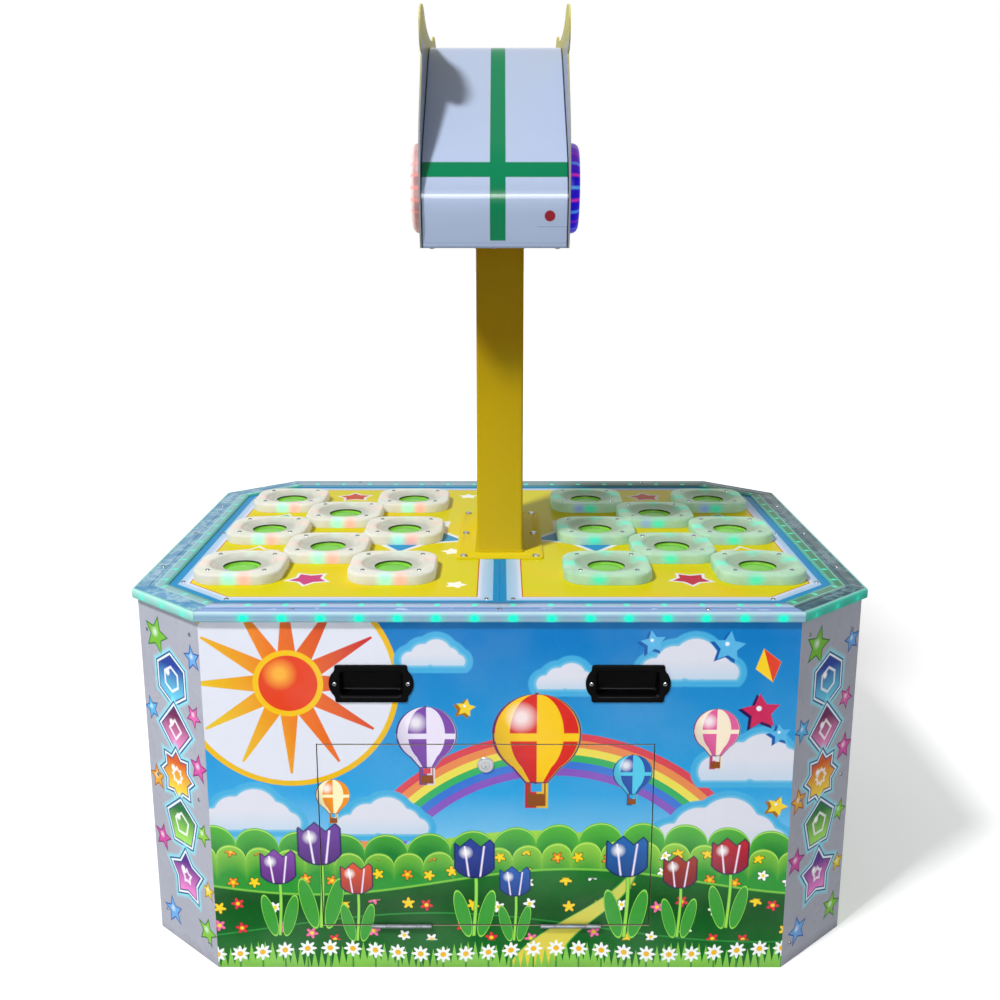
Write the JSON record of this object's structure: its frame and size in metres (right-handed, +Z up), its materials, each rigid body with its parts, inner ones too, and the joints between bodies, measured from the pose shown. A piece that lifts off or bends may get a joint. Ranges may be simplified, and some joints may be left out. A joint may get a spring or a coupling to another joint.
{
  "type": "arcade mole pounding machine",
  "caption": "Two-player mole pounding table: moles rise through dished collars in an eight-sided cabinet, below an animal-head scoreboard on a pillar",
  "frame": {"origin": "on the floor under the middle of the table's footprint, which is also the middle of the pillar", "axes": "+Z up; -Y towards the service side with the door and the two recessed grips; the players stand at the two ends, at -X and +X"},
  "size_m": [1.352, 1.05, 1.7331],
  "materials": {
    "panel_print": "printed film on board",
    "corner_print": "printed film on board, pale grey",
    "playfield_print": "printed film on board, yellow with blue border",
    "board": "bare board and battens",
    "clear_trim": "milky clear acrylic, edge lit",
    "milky_collar": "milky translucent acrylic, lit from below",
    "mole_lime": "glossy lime green",
    "yellow_paint": "satin yellow powder coat",
    "head_sheet": "gloss pale blue with green stripes",
    "head_face": "printed plate, olive yellow",
    "ring_lamp": "milky ring, lit",
    "display": "dark red display window",
    "black_plastic": "gloss black",
    "chrome": "bright chrome",
    "zinc_steel": "zinc-plated steel",
    "button_lit": "translucent red, lit",
    "drive": "wound coil on a steel bracket",
    "circuit": "green circuit board"
  },
  "bodies": {
    "table": {"back_panel": "panel_print", "base_board": "board", "battens": "board", "button_bezels": "black_plastic", "cash_boxes": "zinc_steel", "coin_units": "black_plastic", "control_board": "circuit", "corner_panels": "corner_print", "deck_board": "board", "front_panel": "panel_print", "grip_left": "black_plastic", "grip_right": "black_plastic", "head_face_left": "head_face", "head_face_right": "head_face", "head_floor": "zinc_steel", "head_wrap": "head_sheet", "hinges_fixed": "zinc_steel", "lamp_rings": "ring_lamp", "left_end_panel": "panel_print", "mole_collars_left": "milky_collar", "mole_collars_right": "milky_collar", "mole_drives": "drive", "pillar": "yellow_paint", "pillar_base_plate": "yellow_paint", "pillar_bolts": "zinc_steel", "playfield_left": "playfield_print", "playfield_right": "playfield_print", "power_inlet": "black_plastic", "power_supply": "zinc_steel", "right_end_panel": "panel_print", "score_displays": "display", "speakers": "black_plastic", "trim_corners": "clear_trim", "trim_ends": "clear_trim", "trim_long": "clear_trim"},
    "door": {"service_door": "panel_print", "hinges_door": "zinc_steel", "lock_body": "chrome"},
    "lock": {"lock_cylinder": "chrome"},
    "start_left": {"start_button_left": "button_lit"},
    "start_right": {"start_button_right": "button_lit"},
    "reject_left": {"coin_return_left": "chrome"},
    "reject_right": {"coin_return_right": "chrome"},
    "rocker": {"rocker_switch": "button_lit"},
    "mole_body_left_1": {"mole_left_1": "mole_lime"},
    "mole_body_left_2": {"mole_left_2": "mole_lime"},
    "mole_body_left_3": {"mole_left_3": "mole_lime"},
    "mole_body_left_4": {"mole_left_4": "mole_lime"},
    "mole_body_left_5": {"mole_left_5": "mole_lime"},
    "mole_body_left_6": {"mole_left_6": "mole_lime"},
    "mole_body_left_7": {"mole_left_7": "mole_lime"},
    "mole_body_left_8": {"mole_left_8": "mole_lime"},
    "mole_body_right_1": {"mole_right_1": "mole_lime"},
    "mole_body_right_2": {"mole_right_2": "mole_lime"},
    "mole_body_right_3": {"mole_right_3": "mole_lime"},
    "mole_body_right_4": {"mole_right_4": "mole_lime"},
    "mole_body_right_5": {"mole_right_5": "mole_lime"},
    "mole_body_right_6": {"mole_right_6": "mole_lime"},
    "mole_body_right_7": {"mole_right_7": "mole_lime"},
    "mole_body_right_8": {"mole_right_8": "mole_lime"}
  },
  "joints": [
    {"name": "mole_left_1_rise", "type": "slide", "parent": "table", "child": "mole_body_left_1", "axis": [0, 0, 1], "range_m": [0, 0.055]},
    {"name": "mole_left_2_rise", "type": "slide", "parent": "table", "child": "mole_body_left_2", "axis": [0, 0, 1], "range_m": [0, 0.055]},
    {"name": "mole_left_3_rise", "type": "slide", "parent": "table", "child": "mole_body_left_3", "axis": [0, 0, 1], "range_m": [0, 0.055]},
    {"name": "mole_left_4_rise", "type": "slide", "parent": "table", "child": "mole_body_left_4", "axis": [0, 0, 1], "range_m": [0, 0.055]},
    {"name": "mole_left_5_rise", "type": "slide", "parent": "table", "child": "mole_body_left_5", "axis": [0, 0, 1], "range_m": [0, 0.055]},
    {"name": "mole_left_6_rise", "type": "slide", "parent": "table", "child": "mole_body_left_6", "axis": [0, 0, 1], "range_m": [0, 0.055]},
    {"name": "mole_left_7_rise", "type": "slide", "parent": "table", "child": "mole_body_left_7", "axis": [0, 0, 1], "range_m": [0, 0.055]},
    {"name": "mole_left_8_rise", "type": "slide", "parent": "table", "child": "mole_body_left_8", "axis": [0, 0, 1], "range_m": [0, 0.055]},
    {"name": "mole_right_1_rise", "type": "slide", "parent": "table", "child": "mole_body_right_1", "axis": [0, 0, 1], "range_m": [0, 0.055]},
    {"name": "mole_right_2_rise", "type": "slide", "parent": "table", "child": "mole_body_right_2", "axis": [0, 0, 1], "range_m": [0, 0.055]},
    {"name": "mole_right_3_rise", "type": "slide", "parent": "table", "child": "mole_body_right_3", "axis": [0, 0, 1], "range_m": [0, 0.055]},
    {"name": "mole_right_4_rise", "type": "slide", "parent": "table", "child": "mole_body_right_4", "axis": [0, 0, 1], "range_m": [0, 0.055]},
    {"name": "mole_right_5_rise", "type": "slide", "parent": "table", "child": "mole_body_right_5", "axis": [0, 0, 1], "range_m": [0, 0.055]},
    {"name": "mole_right_6_rise", "type": "slide", "parent": "table", "child": "mole_body_right_6", "axis": [0, 0, 1], "range_m": [0, 0.055]},
    {"name": "mole_right_7_rise", "type": "slide", "parent": "table", "child": "mole_body_right_7", "axis": [0, 0, 1], "range_m": [0, 0.055]},
    {"name": "mole_right_8_rise", "type": "slide", "parent": "table", "child": "mole_body_right_8", "axis": [0, 0, 1], "range_m": [0, 0.055]},
    {"name": "door_hinge", "type": "hinge", "parent": "table", "child": "door", "pos_m": [-0.025, -0.5202, 0.089], "axis": [1, 0, 0], "range_deg": [0, 100]},
    {"name": "lock_turn", "type": "hinge", "parent": "door", "child": "lock", "pos_m": [-0.025, -0.516, 0.411], "axis": [0, -1, 0], "range_deg": [0, 90]},
    {"name": "start_left_press", "type": "slide", "parent": "table", "child": "start_left", "axis": [1, 0, 0], "range_m": [0, 0.004], "stiffness_N_per_m": 300, "springref_m": -0.003},
    {"name": "start_right_press", "type": "slide", "parent": "table", "child": "start_right", "axis": [-1, 0, 0], "range_m": [0, 0.004], "stiffness_N_per_m": 300, "springref_m": -0.003},
    {"name": "reject_left_press", "type": "slide", "parent": "table", "child": "reject_left", "axis": [1, 0, 0], "range_m": [0, 0.0035], "stiffness_N_per_m": 300, "springref_m": -0.003},
    {"name": "reject_right_press", "type": "slide", "parent": "table", "child": "reject_right", "axis": [-1, 0, 0], "range_m": [0, 0.0035], "stiffness_N_per_m": 300, "springref_m": -0.003},
    {"name": "rocker_rock", "type": "hinge", "parent": "table", "child": "rocker", "pos_m": [0.43, 0.519, 0.166], "axis": [-1, 0, 0], "range_deg": [0, 14]}
  ]
}
